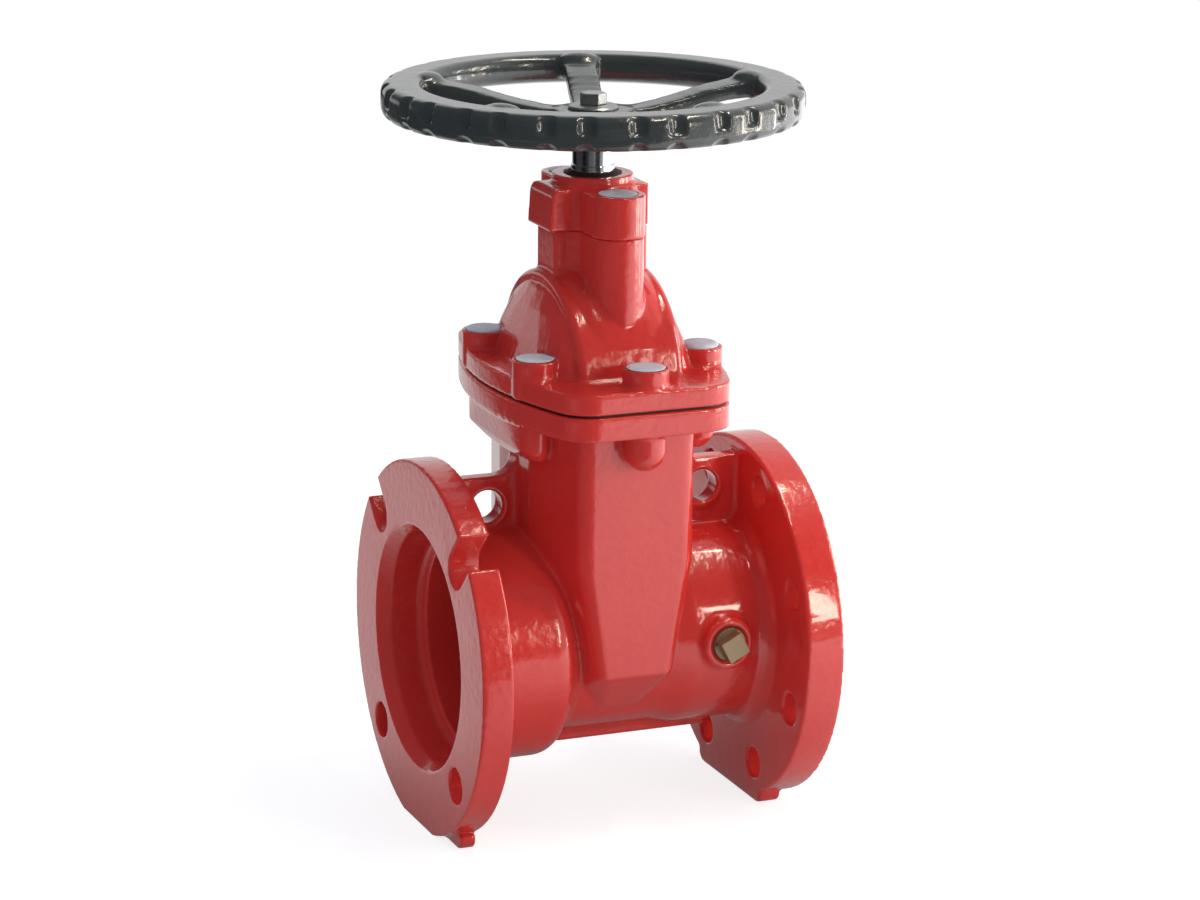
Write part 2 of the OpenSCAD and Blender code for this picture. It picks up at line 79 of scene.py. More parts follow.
def place_camera():
    ahead = Vector((
        math.sin(CAMERA_TURN) * math.cos(CAMERA_TILT),
        math.cos(CAMERA_TURN) * math.cos(CAMERA_TILT),
        -math.sin(CAMERA_TILT),
    ))
    level = Vector((math.cos(CAMERA_TURN), -math.sin(CAMERA_TURN), 0))
    above = level.cross(ahead)
    right = math.cos(CAMERA_ROLL) * level + math.sin(CAMERA_ROLL) * above
    up = math.cos(CAMERA_ROLL) * above - math.sin(CAMERA_ROLL) * level
    camera = bpy.data.objects.new("camera", bpy.data.cameras.new("camera"))
    bpy.context.scene.collection.objects.link(camera)
    camera.matrix_world = Matrix((
        (right.x, up.x, -ahead.x, CAMERA_SPOT.x),
        (right.y, up.y, -ahead.y, CAMERA_SPOT.y),
        (right.z, up.z, -ahead.z, CAMERA_SPOT.z),
        (0, 0, 0, 1),
    ))
    camera.data.lens = CAMERA_LENS
    camera.data.sensor_width = 36
    camera.data.clip_end = 50
    bpy.context.scene.camera = camera


place_camera()
print("camera", round(CAMERA_SPOT.length, 2), "m from the foot of the valve")

# %% [markdown]
# ## Small helpers for nodes
#
# Materials below are node trees built in code. One function starts an empty material with
# its Principled shader, and one adds a node, sets its values and links its inputs, so each
# finish reads as a short list.

# %% Helpers for node trees


def add_node(tree, kind, links=None, **settings):
    """Adds a node; settings are its properties, links its inputs: a value or a socket."""
    made = tree.nodes.new(kind)
    for name, value in settings.items():
        setattr(made, name, value)
    for name, value in (links or {}).items():
        if isinstance(value, bpy.types.NodeSocket):
            tree.links.new(value, made.inputs[name])
        else:
            made.inputs[name].default_value = value
    return made


def new_material(name, **shader_values):
    """A material whose Principled shader has these plain values; returns it and its tree."""
    material = bpy.data.materials.new(name)
    material.use_nodes = True
    tree = material.node_tree
    shader = tree.nodes["Principled BSDF"]
    for label, value in shader_values.items():
        shader.inputs[label.replace("_", " ")].default_value = value
    return material, tree, shader


def new_group(name, inputs, outputs):
    """A shader node group; inputs and outputs are (name, kind, default) or (name, kind)."""
    group = bpy.data.node_groups.new(name, "ShaderNodeTree")
    for label, kind, *default in inputs:
        socket = group.interface.new_socket(label, in_out="INPUT", socket_type=kind)
        if default:
            socket.default_value = default[0]
    for label, kind in outputs:
        group.interface.new_socket(label, in_out="OUTPUT", socket_type=kind)
    return group, group.nodes.new("NodeGroupInput"), group.nodes.new("NodeGroupOutput")


def use_group(tree, group):
    made = tree.nodes.new("ShaderNodeGroup")
    made.node_tree = group
    return made


FLOAT, VECTOR = "NodeSocketFloat", "NodeSocketVector"

# %% [markdown]
# ## Drawing light with nodes
#
# Gloss paint is mostly a picture of its surroundings, so the studio around the valve is drawn
# for the paint. Real walls and cards could stand round the valve, but drawn ones are quicker
# to move. Three small functions are enough: how far a spot lies in some direction, a smooth
# change of brightness along it, and a sum or a product of such changes.

# %% Helpers for drawn light


def soft_step(tree, value, low, high, start=0.0, end=1.0):
    """A smooth change from start to end while the value goes from low to high."""
    made = add_node(tree, "ShaderNodeMapRange", {"Value": value, "From Min": low,
                    "From Max": high, "To Min": start, "To Max": end},
                    interpolation_type="SMOOTHSTEP")
    return made.outputs["Result"]


def maths(tree, operation, *values):
    made = add_node(tree, "ShaderNodeMath", dict(enumerate(values)), operation=operation)
    return made.outputs[0]


def along(tree, spot, direction):
    """How far a spot lies in a direction."""
    made = add_node(tree, "ShaderNodeVectorMath", {0: spot, 1: direction},
                    operation="DOT_PRODUCT")
    return made.outputs["Value"]


# %% [markdown]
# ## The table
#
# The valve stands on a white table, lit from the right. Seen in the paint, the table is
# bright on the right and dull on the left, darker in a band towards its left front corner,
# and ends about a metre in front; round the valve's foot its shadow is painted in. The camera
# itself sees an even white that only takes a faint shadow, so the floor has one look for the
# camera and another for the paint.

# %% Make the table
FLOOR_HALF = 6.0
FLOOR_PAINT = (0.84, 0.84, 0.84, 1)
FLOOR_SEEN = (0.4, 0.4, 0.4, 1)
FLOOR_GLOW = 0.8
TO_RIGHT = (0.925, -0.38, 0)
TO_BACK = (0.38, 0.925, 0)
TO_LEFT_FRONT = (-0.924, -0.383, 0)
# Each step is two distances in metres, and the brightness before and after them.
LEFT_END = (-1.35, -1.2, 0.04, 0.22)
LEFT_RISE = (-0.95, -0.65, 0.0, 0.5)
RIGHT_RISE = (-0.3, 1.1, 0.0, 1.2)
FRONT_END = (-1.2, -1.0, 0.15, 1.0)
# A darker band of the table towards the left front, drawn only as the paint mirrors it.
LEFT_FRONT_DIM_START = (0.12, 0.24, 1.0, 0.12)
LEFT_FRONT_DIM_END = (1.05, 1.25, 0.12, 1.0)
# Painted shadow of the valve round its foot, drawn into the table as the paint mirrors it.
FOOT_SHADE = (0.06, 0.3, 0.2, 1.0)


def table_in_paint(tree):
    """Brightness of the table as the paint mirrors it, with a painted shadow round the valve's
    foot.
    """
    spot = add_node(tree, "ShaderNodeTexCoord").outputs["Object"]
    aside, ahead = along(tree, spot, TO_RIGHT), along(tree, spot, TO_BACK)
    dull = maths(tree, "ADD", soft_step(tree, aside, *LEFT_END),
                 soft_step(tree, aside, *LEFT_RISE))
    lit = maths(tree, "ADD", dull, soft_step(tree, aside, *RIGHT_RISE))
    edge = soft_step(tree, ahead, *FRONT_END)
    left_front = along(tree, spot, TO_LEFT_FRONT)
    # Darker in a band towards the left front.
    left_front_dim = maths(tree, "MAXIMUM", soft_step(tree, left_front, *LEFT_FRONT_DIM_START),
                soft_step(tree, left_front, *LEFT_FRONT_DIM_END))
    # The valve's shadow, painted: darker near its foot.
    away = add_node(tree, "ShaderNodeVectorMath", {0: spot}, operation="LENGTH")
    shade = soft_step(tree, away.outputs["Value"], *FOOT_SHADE)
    seen = maths(tree, "MULTIPLY", lit, maths(tree, "MULTIPLY", edge, left_front_dim))
    return maths(tree, "MULTIPLY", seen, shade)


def make_floor():
    """A white floor that the camera sees nearly evenly lit, and the paint as drawn above."""
    bm = bmesh.new()
    bmesh.ops.create_grid(bm, x_segments=1, y_segments=1, size=FLOOR_HALF)
    mesh = bpy.data.meshes.new("floor")
    bm.to_mesh(mesh)
    bm.free()
    floor = bpy.data.objects.new("floor", mesh)
    bpy.context.scene.collection.objects.link(floor)
    material = bpy.data.materials.new("white_table")
    material.use_nodes = True
    tree = material.node_tree
    tree.nodes.clear()
    path = add_node(tree, "ShaderNodeLightPath")
    seen = path.outputs["Is Camera Ray"]
    paint = add_node(tree, "ShaderNodeMix", {"Factor": seen, "A": FLOOR_PAINT,
                     "B": FLOOR_SEEN}, data_type="RGBA")
    lit = add_node(tree, "ShaderNodeBsdfDiffuse", {"Color": paint.outputs[2]})
    glow = add_node(tree, "ShaderNodeEmission",
                    {"Strength": maths(tree, "MULTIPLY", seen, FLOOR_GLOW)})
    plain = add_node(tree, "ShaderNodeAddShader", {0: lit.outputs[0], 1: glow.outputs[0]})
    mirrored = add_node(tree, "ShaderNodeEmission", {"Strength": table_in_paint(tree)})
    both = add_node(tree, "ShaderNodeMixShader", {0: path.outputs["Is Glossy Ray"],
                    1: plain.outputs[0], 2: mirrored.outputs[0]})
    out = add_node(tree, "ShaderNodeOutputMaterial")
    tree.links.new(both.outputs[0], out.inputs["Surface"])
    mesh.materials.append(material)


make_floor()
print("table made,", 2 * FLOOR_HALF, "m wide")

# %% [markdown]
# ## The room
#
# The room that the paint mirrors is pale on the right, with a screen at the right back and a
# low strip of light far behind. It is nearly black on the left, which turns the left sides
# of the barrels dark. The camera sees plain white, and the room's plain light is an even fill
# with a little blue.

# %% Make the room
ROOM_FILL = 0.54
ROOM_TINT = (0.93, 0.98, 1.12, 1)
PALE_SIDE = (0.966, 0.259, 0)
SCREEN_SIDE = (0.75, 0.66, 0)
FAR_SIDE = (-0.1, 0.995, 0)
# Here each step is two shares of a direction or of the height, and two brightnesses.
PALE_RISE = (0.15, 0.6, 0.05, 0.72)
SCREEN_RISE = (0.4, 0.75, 0.0, 0.8)
SCREEN_TOP = (0.78, 0.84, 1.0, 0.3)
FAR_RISE = (0.75, 0.9, 0.0, 0.75)
FAR_TOP = (0.1, 0.2, 1.0, 0.0)


def make_room():
    """White for the camera, a soft fill for plain light, and a drawn room for the paint."""
    world = bpy.data.worlds.new("room")
    world.use_nodes = True
    bpy.context.scene.world = world
    tree = world.node_tree
    tree.nodes.clear()
    path = add_node(tree, "ShaderNodeLightPath")
    spot = add_node(tree, "ShaderNodeTexCoord").outputs["Generated"]
    height = along(tree, spot, (0, 0, 1))
    pale = soft_step(tree, along(tree, spot, PALE_SIDE), *PALE_RISE)
    screen = maths(tree, "MULTIPLY",
                   soft_step(tree, along(tree, spot, SCREEN_SIDE), *SCREEN_RISE),
                   soft_step(tree, height, *SCREEN_TOP))
    far = maths(tree, "MULTIPLY",
                soft_step(tree, along(tree, spot, FAR_SIDE), *FAR_RISE),
                soft_step(tree, height, *FAR_TOP))
    glossy = maths(tree, "MAXIMUM", maths(tree, "MAXIMUM", pale, screen), far)
    plain = add_node(tree, "ShaderNodeMix", {"Factor": path.outputs["Is Glossy Ray"],
                     "A": ROOM_FILL, "B": glossy})
    shown = add_node(tree, "ShaderNodeMix", {"Factor": path.outputs["Is Camera Ray"],
                     "A": plain.outputs[0], "B": 1.0})
    tint = add_node(tree, "ShaderNodeMix", {"Factor": path.outputs["Is Diffuse Ray"],
                    "A": (1, 1, 1, 1), "B": ROOM_TINT}, data_type="RGBA")
    light = add_node(tree, "ShaderNodeBackground", {"Color": tint.outputs[2],
                     "Strength": shown.outputs[0]})
    out = add_node(tree, "ShaderNodeOutputWorld")
    tree.links.new(light.outputs[0], out.inputs["Surface"])


make_room()
print("room made, fill", ROOM_FILL)

# %% [markdown]
# ## The lamps
#
# Five narrow lamps: three upright tubes on the right, a small box in front for the crisp
# glints, and a long tube overhead that draws thin bright lines along the barrels. Narrow
# lamps give gloss paint its sharp streaks, and the pale room fills the rest.

# %% Hang the lamps
AIM = Vector((0, 0, 0.25))


def hang_lamp(name, turn, away, height, width, tall, glare, tint=(1, 1, 1)):
    """A soft box at a compass turn from +Y towards +X; glare is its brightness."""
    lamp = bpy.data.lights.new(name, "AREA")
    lamp.shape = "RECTANGLE"
    lamp.size, lamp.size_y = width, tall
    lamp.energy = glare * math.pi * width * tall
    lamp.color = tint
    holder = bpy.data.objects.new(name, lamp)
    bpy.context.scene.collection.objects.link(holder)
    turn = math.radians(turn)
    holder.location = (away * math.sin(turn), away * math.cos(turn), height)
    holder.rotation_euler = (AIM - holder.location).to_track_quat("-Z", "Y").to_euler()


WARM = (1.0, 0.9, 0.74)
hang_lamp("tube_right_a", 107, 1.35, 0.55, 0.08, 1.0, 18.5, WARM)
hang_lamp("tube_right_b", 117, 1.35, 0.55, 0.08, 1.0, 18.5, WARM)
hang_lamp("tube_side", 91, 1.25, 0.45, 0.06, 0.8, 14)
hang_lamp("box_front", 153.5, 1.6, 0.55, 0.1, 0.5, 24, WARM)
hang_lamp("tube_top", 116, 0.55, 1.65, 0.85, 0.08, 34, WARM)
bpy.context.scene.view_settings.view_transform = "Standard"
print("five lamps hung")

# %% [markdown]
# ## From sharp solids to castings
#
# Molten iron can't fill a sharp corner and a pattern can't leave one, so every inner corner
# of a casting is a fillet and every outer edge is a little round. Bevelling hundreds of
# crossing edges is hopeless. Instead the solid is remeshed with small voxels, which also
# fuses anything added to it. Then its inner corners are found by their curvature and
# smoothed for a long time, and the rest for a short time.

# %% Helpers for new pieces


def merged_copy(name, added=()):
    """A new object with the merged triangles of a CAD solid and of some added shapes."""
    bm = bmesh.new()
    bm.from_mesh(nodes[name].data)
    bmesh.ops.remove_doubles(bm, verts=bm.verts, dist=0.01 * MM)
    for extra in added:
        bm.from_mesh(extra)
        bpy.data.meshes.remove(extra)
    return new_piece(name + "_casting", bm)


def new_piece(name, bm):
    mesh = bpy.data.meshes.new(name)
    bm.to_mesh(mesh)
    bm.free()
    piece = bpy.data.objects.new(name, mesh)
    bpy.context.scene.collection.objects.link(piece)
    return piece


def place_on(piece, node, rider):
    """Puts a piece in the place of a CAD solid, on a body."""
    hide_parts(node)
    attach(piece, rider)


def apply_modifiers(piece):
    graph = bpy.context.evaluated_depsgraph_get()
    graph.update()
    mesh = bpy.data.meshes.new_from_object(piece.evaluated_get(graph))
    piece.modifiers.clear()
    old, piece.data = piece.data, mesh
    name = old.name
    bpy.data.meshes.remove(old)
    mesh.name = name


# %% [markdown]
# Inner corners and outer edges show in how a vertex lies against its neighbours: in a corner
# their mean is in front of the face, and on an edge behind it. The masks of both are spread
# over some rings of neighbours, so that the smoothing fades out instead of stopping dead.

# %% Find the corners of a mesh
BEND_LIMIT = 0.05
RELAX_PASSES = 4


def neighbour_sum(edges, values, count):
    """For each vertex, the sum of the values of its neighbours."""
    total = np.bincount(edges[:, 0], values[edges[:, 1]], count)
    return total + np.bincount(edges[:, 1], values[edges[:, 0]], count)


def read_mesh(mesh):
    """The places, the normals and the edges of a mesh as arrays."""
    count = len(mesh.vertices)
    spots = np.empty(count * 3, np.float32)
    mesh.vertices.foreach_get("co", spots)
    normals = np.empty(count * 3, np.float32)
    mesh.vertices.foreach_get("normal", normals)
    edges = np.empty(len(mesh.edges) * 2, np.int32)
    mesh.edges.foreach_get("vertices", edges)
    return spots.reshape(-1, 3).astype(float), normals.reshape(-1, 3), edges.reshape(-1, 2)


def corner_masks(mesh, voxel, hollow, proud):
    """Two masks, near inner corners and near outer edges, spread over some rings."""
    spots, normals, edges = read_mesh(mesh)
    count = len(spots)
    share = 1 / neighbour_sum(edges, np.ones(count), count)

    def mean(values):
        return neighbour_sum(edges, values, count) * share

    for _ in range(RELAX_PASSES):
        spots = np.stack([(spots[:, k] + mean(spots[:, k])) / 2 for k in range(3)], axis=1)
    pull = np.stack([mean(spots[:, k]) - spots[:, k] for k in range(3)], axis=1)
    bend = (pull * normals).sum(axis=1) / voxel
    masks = []
    for seeds, rings in ((bend > BEND_LIMIT, hollow), (bend < -BEND_LIMIT, proud)):
        mask = seeds.astype(float)
        for _ in range(rings):
            spread = mask.copy()
            np.maximum.at(spread, edges[:, 0], mask[edges[:, 1]] - 1 / rings)
            np.maximum.at(spread, edges[:, 1], mask[edges[:, 0]] - 1 / rings)
            mask = spread
        masks.append(mask)
    return masks


# %% [markdown]
# The skin of a casting needs the remesh, a long smoothing of the inner corners, a short one
# of everything, and fewer triangles at the end.

# %% Skin of a casting
COARSE = 1.0
SMOOTHING = 0.5
FILLET_GAIN = 1.6
FILLET_REACH = 4.5 * MM
EDGE_RINGS = 2
WEIGHT_LEVELS = 10


def cast_skin(piece, voxel, fillet, edge, triangles):
    """Remeshes a piece, rounds its inner corners and its edges, and thins the result.

    Fillet and edge are smoothing steps. Triangles is the most that is kept."""
    remesh = piece.modifiers.new("voxels", "REMESH")
    remesh.mode = "VOXEL"
    remesh.voxel_size = voxel
    remesh.use_smooth_shade = True
    apply_modifiers(piece)
    rings = max(EDGE_RINGS, round(FILLET_REACH / voxel))
    inner, outer = corner_masks(piece.data, voxel, rings, EDGE_RINGS)
    group = piece.vertex_groups.new(name="inner_corners")
    weight = np.clip(inner * FILLET_GAIN, 0, 1) * (1 - outer)
    for level in range(1, WEIGHT_LEVELS + 1):
        chosen = np.nonzero(np.round(weight * WEIGHT_LEVELS) == level)[0]
        group.add(chosen.tolist(), level / WEIGHT_LEVELS, "REPLACE")
    corners = piece.modifiers.new("fillets", "SMOOTH")
    corners.factor, corners.iterations = SMOOTHING, fillet
    corners.vertex_group = group.name
    edges = piece.modifiers.new("edges", "SMOOTH")
    edges.factor, edges.iterations = SMOOTHING, edge
    apply_modifiers(piece)
    now = 2 * len(piece.data.polygons)
    if now > triangles:
        thin = piece.modifiers.new("thin", "DECIMATE")
        thin.ratio = triangles / now
        apply_modifiers(piece)
    piece.vertex_groups.clear()
    piece.data.shade_smooth()
    print(piece.name, now, "triangles, kept", len(piece.data.polygons))


def cast(name, voxel, fillet, edge, triangles, added=()):
    """The casting of a CAD solid with some shapes added."""
    piece = merged_copy(name, added)
    cast_skin(piece, voxel * COARSE, round(fillet / COARSE**2), edge, triangles)
    return piece


# %% [markdown]
# ## The body
#
# The body is one hollow iron casting: the two ends, the chamber between them and the ribs with
# the lifting holes. Rings are laid round the lifting holes and the drain boss, because the
# real edges there swell into a soft lip. They could be modelled by hand with long rows of
# fillets, but the shared casting steps fuse and soften them in one go.

# %% Cast the body
RIB_HALF = 6 * MM
HOLE_LIP, HOLE_LIP_THICK = 12.3 * MM, 2.2 * MM
BOSS_REACH = 68 * MM
BOSS_LIP, BOSS_LIP_THICK = 13.6 * MM, 2.4 * MM
openings = {o["name"]: o["box_m"] for o in frame["record"]["physics"]["openings"]}


def middle(box):
    return (Vector(box[0]) + Vector(box[1])) / 2


def corners_of(node):
    return [Vector(c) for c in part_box(node)]


def mesh_from(bm, name):
    bmesh.ops.recalc_face_normals(bm, faces=bm.faces)
    mesh = bpy.data.meshes.new(name)
    bm.to_mesh(mesh)
    bm.free()
    return mesh


def lip(centre, axis, radius, thick):
    """A closed round ring to lay round a hole."""
    bm = bmesh.new()
    upright = Matrix.Translation((radius, 0, 0)) @ Matrix.Rotation(math.pi / 2, 4, "X")
    bmesh.ops.create_circle(bm, segments=12, radius=thick, matrix=upright)
    bmesh.ops.spin(bm, geom=bm.verts[:] + bm.edges[:], cent=(0, 0, 0), axis=(0, 0, 1),
                   angle=math.tau, steps=48, use_merge=True)
    aim = Vector(axis).to_track_quat("Z", "Y").to_matrix().to_4x4()
    bmesh.ops.transform(bm, matrix=Matrix.Translation(centre) @ aim, verts=bm.verts)
    return mesh_from(bm, "lip")


plug_middle = middle(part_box("drain_plug"))
boss_middle = Vector((plug_middle.x, mounts["pipe_socket"].y - BOSS_REACH, plug_middle.z))
lips = [
    lip(middle(openings[name]) + Vector((0, side * RIB_HALF, 0)), (0, 1, 0), HOLE_LIP,
        HOLE_LIP_THICK)
    for name in ("lifting_hole_bell", "lifting_hole_flange") for side in (-1, 1)
]
lips.append(lip(boss_middle, (0, 1, 0), BOSS_LIP, BOSS_LIP_THICK))
body = cast("body", 1.0 * MM, 26, 6, 190000, lips)
print("body with", len(lips), "lips")

# %% [markdown]
# ## The bonnet and the seal plate
#
# The bonnet is bolted on the body. Its vault makes room for the raised gate, and the rim of the
# vault stands a little proud, as an arch with round shoulders. The arch is drawn as an outline
# and pushed through, and the casting steps melt it into the vault. The seal plate is a small
# casting on the neck, and needs nothing added.

# %% Cast the bonnet and the seal plate
DRUM_R = 65.6 * MM
DRUM_HALF = 34 * MM
DRUM_RISE = 8.4 * MM
DRUM_SQUAT = 0.9
DRUM_WALL = 7 * MM
DRUM_SHOULDER = 4.5 * MM
DRUM_FOOT = 1 * MM
ARCH_STEPS = 64


def vault_drum():
    """The rim of the vault over the gate: an arch across the valve with rounded shoulders."""
    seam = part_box("bonnet_gasket")[1][2]
    foot, centre = seam + DRUM_FOOT, seam + DRUM_RISE

    def arch(radius):
        turns = [math.pi * i / ARCH_STEPS for i in range(ARCH_STEPS + 1)]
        curve = [(radius * math.cos(t), centre + DRUM_SQUAT * radius * math.sin(t)) for t in turns]
        return [(radius, foot)] + curve + [(-radius, foot)]

    bm = bmesh.new()
    outline = arch(DRUM_R) + arch(DRUM_R - DRUM_WALL)[::-1]
    face = bm.faces.new([bm.verts.new((-DRUM_HALF, y, z)) for y, z in outline])
    pushed = bmesh.ops.extrude_face_region(bm, geom=[face])["geom"]
    moved = [g for g in pushed if isinstance(g, bmesh.types.BMVert)]
    bmesh.ops.translate(bm, verts=moved, vec=(2 * DRUM_HALF, 0, 0))

    def on_rim(v):
        out = math.hypot(v.co.y, (v.co.z - centre) / DRUM_SQUAT)
        return v.co.z > foot + MM and out > DRUM_R - MM

    rims = [e for e in bm.edges if abs(e.verts[0].co.x - e.verts[1].co.x) < MM
            and all(on_rim(v) for v in e.verts)]
    bmesh.ops.bevel(bm, geom=rims, offset=DRUM_SHOULDER, offset_type="OFFSET", segments=5,
                    profile=0.5, affect="EDGES", material=-1)
    return mesh_from(bm, "drum")


bonnet = cast("bonnet", 0.95 * MM, 16, 5, 170000, [vault_drum()])
seal_plate = cast("seal_plate", 0.7 * MM, 16, 6, 90000)
print("vault", round(2 * DRUM_R, 3), "m across")

# %% [markdown]
# ## The handwheel
#
# The wheel is cast too, and its rim has pairs of finger notches scooped out of the outer face
# down to half its height. Round cutters take them out before the remesh, which is quicker and
# more even than sculpting them. A rounded tongue is laid over the outer end of each spoke.

# %% Cast the handwheel
wheel_low, wheel_high = corners_of("handwheel")
wheel_radius = (wheel_high.x - wheel_low.x) / 2
WHEEL_TURN = math.radians(1)
SPOKES = 5
RIM_HEIGHT = 20.5 * MM
RIM_WIDTH = 26 * MM
NOTCH_PAIRS = 3
NOTCH_SPREAD = 0.22
NOTCH_FLOOR = 9.5 * MM
NOTCH_OUT = 2.4 * MM
NOTCH_LOW, NOTCH_HIGH, NOTCH_TALL = 5.6 * MM, 7.6 * MM, 20 * MM
TONGUE_SIZE = (9 * MM, 13 * MM, 5 * MM)
TONGUE_IN, TONGUE_DOWN = 25 * MM, 3.5 * MM


def tongue(turn):
    bm = bmesh.new()
    centre = (wheel_radius - TONGUE_IN, 0, wheel_high.z - TONGUE_DOWN)
    place = (Matrix.Rotation(turn, 4, "Z") @ Matrix.Translation(centre)
             @ Matrix.Diagonal((*TONGUE_SIZE, 1)))
    bmesh.ops.create_icosphere(bm, subdivisions=3, radius=1, matrix=place)
    return mesh_from(bm, "tongue")


def notch_cutters():
    bm = bmesh.new()
    step = math.tau / (SPOKES * NOTCH_PAIRS)
    height = wheel_high.z - RIM_HEIGHT + NOTCH_FLOOR + NOTCH_TALL / 2
    for i in range(SPOKES * NOTCH_PAIRS):
        for side in (-1, 1):
            turn = WHEEL_TURN + (i + side * NOTCH_SPREAD) * step
            place = Matrix.Rotation(turn, 4, "Z") @ Matrix.Translation(
                (wheel_radius + NOTCH_OUT, 0, height))
            bmesh.ops.create_cone(bm, cap_ends=True, segments=32, radius1=NOTCH_LOW,
                                  radius2=NOTCH_HIGH, depth=NOTCH_TALL, matrix=place)
    return new_piece("notch_cutters", bm)


tongues = [tongue(WHEEL_TURN + i * math.tau / SPOKES) for i in range(SPOKES)]
wheel = merged_copy("handwheel", tongues)
cutters = notch_cutters()
cut = wheel.modifiers.new("notches", "BOOLEAN")
cut.operation, cut.object, cut.solver = "DIFFERENCE", cutters, "EXACT"
cut.use_self = True
apply_modifiers(wheel)
bpy.data.objects.remove(cutters)
cast_skin(wheel, 0.9 * MM * COARSE, round(30 / COARSE**2), 5, 190000)
print(2 * SPOKES * NOTCH_PAIRS, "notches and", len(tongues), "tongues")

# %% [markdown]
# ## The spokes
#
# The real spokes are as round as a rod, and sweep down to the hub in one long S. Moving the
# vertices along a smooth curve keeps their joins with rim and hub, and a longer smoothing of
# the spokes alone takes away the flats of their section.

# %% Bend and round the spokes
HUB_REACH = 22 * MM
SAG = 12 * MM
LONG_SWEEP, SHORT_SWEEP = (HUB_REACH, 97 * MM), (34 * MM, 68 * MM)
ROUNDING = 30
spots, _, _ = read_mesh(wheel.data)
reach = np.hypot(spots[:, 0], spots[:, 1])
on_spoke = (reach > HUB_REACH) & (reach < wheel_radius - RIM_WIDTH)


def ease(values, low, high):
    share = np.clip((values - low) / (high - low), 0, 1)
    return share * share * (3 - 2 * share)


sag = ease(reach, *LONG_SWEEP) - ease(reach, *SHORT_SWEEP)
spots[:, 2] += np.where(on_spoke, SAG * sag, 0)
wheel.data.vertices.foreach_set("co", spots.astype(np.float32).ravel())
wheel.data.update()
group = wheel.vertex_groups.new(name="spokes")
group.add(np.nonzero(on_spoke)[0].tolist(), 1.0, "REPLACE")
rounder = wheel.modifiers.new("rounder", "SMOOTH")
rounder.factor, rounder.iterations, rounder.vertex_group = SMOOTHING, ROUNDING, group.name
apply_modifiers(wheel)
wheel.vertex_groups.clear()
wheel.data.shade_smooth()
print("handwheel", round(wheel_radius * 2, 4), "m across,", len(wheel.data.polygons), "faces")

# %% [markdown]
# ## Castings in place of the plain solids
#
# The body, the bonnet and the seal plate stay with the valve, and the wheel turns. Each
# casting takes the place of the CAD solid that it was made from.

# %% Say what the castings replace
for piece, node, rider, slot in (
    (body, "body", "valve", "red_epoxy"),
    (bonnet, "bonnet", "valve", "red_epoxy"),
    (seal_plate, "seal_plate", "valve", "red_epoxy"),
    (wheel, "handwheel", "wheel", "black_enamel"),
):
    place_on(piece, node, rider)
print("four castings in place")

# %% [markdown]
# ## Wax over the bolts
#
# Every socket screw of the bonnet and the seal plate sits in a deep hole that is filled with
# grey wax, so that no water can stand on the screw. Poured wax is flat or a little crowned,
# with a soft rim and small dents, so each plug is a flattened ball with some noise.

# %% Pour the wax
PLAIN_CROWN = 0.8 * MM
CROWNS = {"bonnet_plug_5": 2.4 * MM, "bonnet_plug_2": 1.6 * MM}
WAX_DOWN = 0.9 * MM
DENT_SIZE, DENT_DEPTH = 3.5 * MM, 0.25 * MM


def pour_wax(node, crown):
    low, high = corners_of(node)
    radius = (high.x - low.x) / 2
    level = high.z - WAX_DOWN
    bm = bmesh.new()
    bmesh.ops.create_uvsphere(bm, u_segments=64, v_segments=40, radius=1)
    for v in bm.verts:
        out = min(1.0, math.hypot(v.co.x, v.co.y))
        rise = math.copysign(math.sqrt(max(0.0, 1 - out**5)), v.co.z)
        x, y = v.co.x * radius, v.co.y * radius
        dent = noise.noise(Vector((x, y, level)) / DENT_SIZE) * DENT_DEPTH * (1 - out**4)
        v.co = Vector(((low.x + high.x) / 2 + x, (low.y + high.y) / 2 + y,
                       level + rise * crown + dent))
    piece = new_piece(node + "_wax", bm)
    piece.data.shade_smooth()
    place_on(piece, node, "valve")
    return piece


wax_nodes = [f"bonnet_plug_{i}" for i in range(1, 7)] + ["gland_plug_1", "gland_plug_2"]
wax_plugs = [pour_wax(node, CROWNS.get(node, PLAIN_CROWN)) for node in wax_nodes]
print(len(wax_plugs), "wax plugs")

# %% [markdown]
# ## Washer and bolt of the wheel
#
# A small hex bolt holds the wheel, on a washer with a domed edge. Both are machined, so the
# washer is a lathe piece, and the bolt's head is a prism with a plain bevel.

# %% Turn the washer and the bolt
SHARP_ANGLE = 0.6
WASHER_BORE = 6.2 * MM
WASHER_FOOT, WASHER_R, WASHER_SHOULDER, WASHER_FLAT = 15.3 * MM, 15.5 * MM, 14.6 * MM, 12 * MM
SHANK_R = 5.5 * MM
HEAD_R = 8.2 * MM
HEAD_BEVEL = 0.7 * MM


def bevel_sharp(bm, width):
    """Bevels every edge whose faces turn by more than the sharp angle."""
    sharp = [e for e in bm.edges
             if len(e.link_faces) == 2 and e.calc_face_angle() > SHARP_ANGLE]
    bmesh.ops.bevel(bm, geom=sharp, offset=width, offset_type="OFFSET", segments=3,
                    profile=0.5, affect="EDGES", clamp_overlap=True, material=-1)


def turned(points, name):
    """A closed lathe piece from (radius, height) points, from the axis out and back to it."""
    bm = bmesh.new()
    line = [bm.verts.new((r, 0, z)) for r, z in points]
    edges = [bm.edges.new(pair) for pair in zip(line, line[1:])]
    bmesh.ops.spin(bm, geom=line + edges, cent=(0, 0, 0), axis=(0, 0, 1),
                   angle=math.tau, steps=64, use_merge=True)
    bmesh.ops.remove_doubles(bm, verts=bm.verts, dist=0.001 * MM)
    bmesh.ops.recalc_face_normals(bm, faces=bm.faces)
    return new_piece(name, bm)


